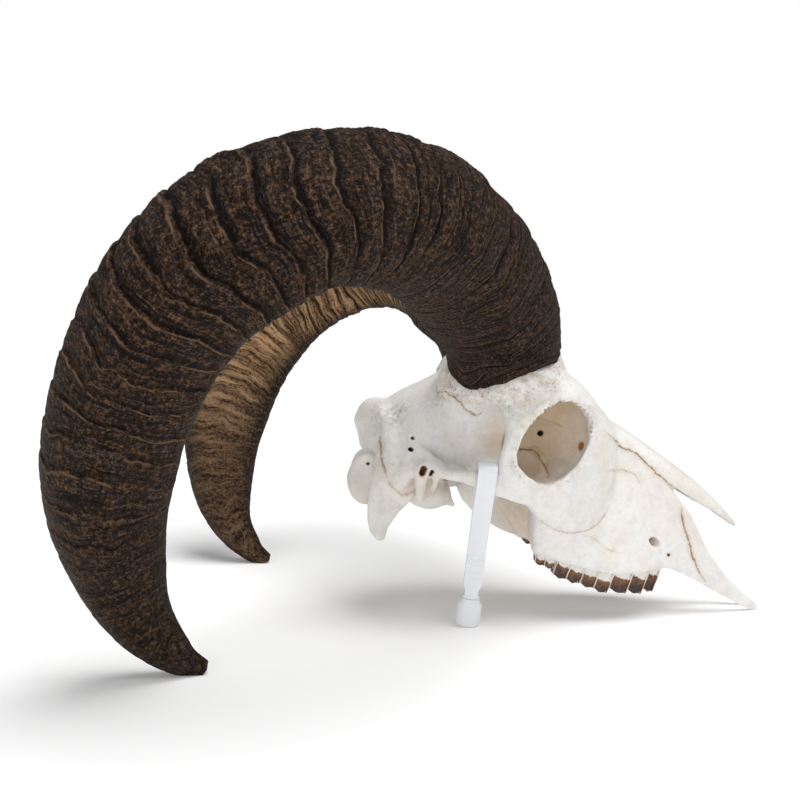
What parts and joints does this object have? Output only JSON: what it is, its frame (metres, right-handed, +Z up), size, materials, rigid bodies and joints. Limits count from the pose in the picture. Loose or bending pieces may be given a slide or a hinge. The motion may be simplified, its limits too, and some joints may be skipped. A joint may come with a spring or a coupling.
{
  "type": "mouflon skull",
  "caption": "Weathered ram skull without lower jaw, with ridged curling horn sheaths, worn cheek teeth and a plain loop tag on the right cheek arch.",
  "frame": {"origin": "on the ground plane, under the middle of the bounding box, on the skull's plane of symmetry", "axes": "+X forwards towards the nose, +Y to the animal's left, +Z up, standing on both horn tips and the nose tip as in the picture"},
  "size_m": [0.347, 0.4558, 0.232],
  "materials": {
    "bone": "dry, bleached, slightly chalky bone",
    "horn": "dry, ridged, fibrous horn",
    "tooth": "worn enamel with brown staining",
    "tag_plastic": "smooth translucent white plastic"
  },
  "bodies": {
    "root": {"skull": "bone", "horn_left": "horn", "horn_right": "horn", "molar_3_left": "tooth", "molar_2_left": "tooth", "molar_1_left": "tooth", "premolar_4_left": "tooth", "premolar_3_left": "tooth", "premolar_2_left": "tooth", "molar_3_right": "tooth", "molar_2_right": "tooth", "molar_1_right": "tooth", "premolar_4_right": "tooth", "premolar_3_right": "tooth", "premolar_2_right": "tooth", "seal_tag": "tag_plastic"}
  },
  "joints": []
}
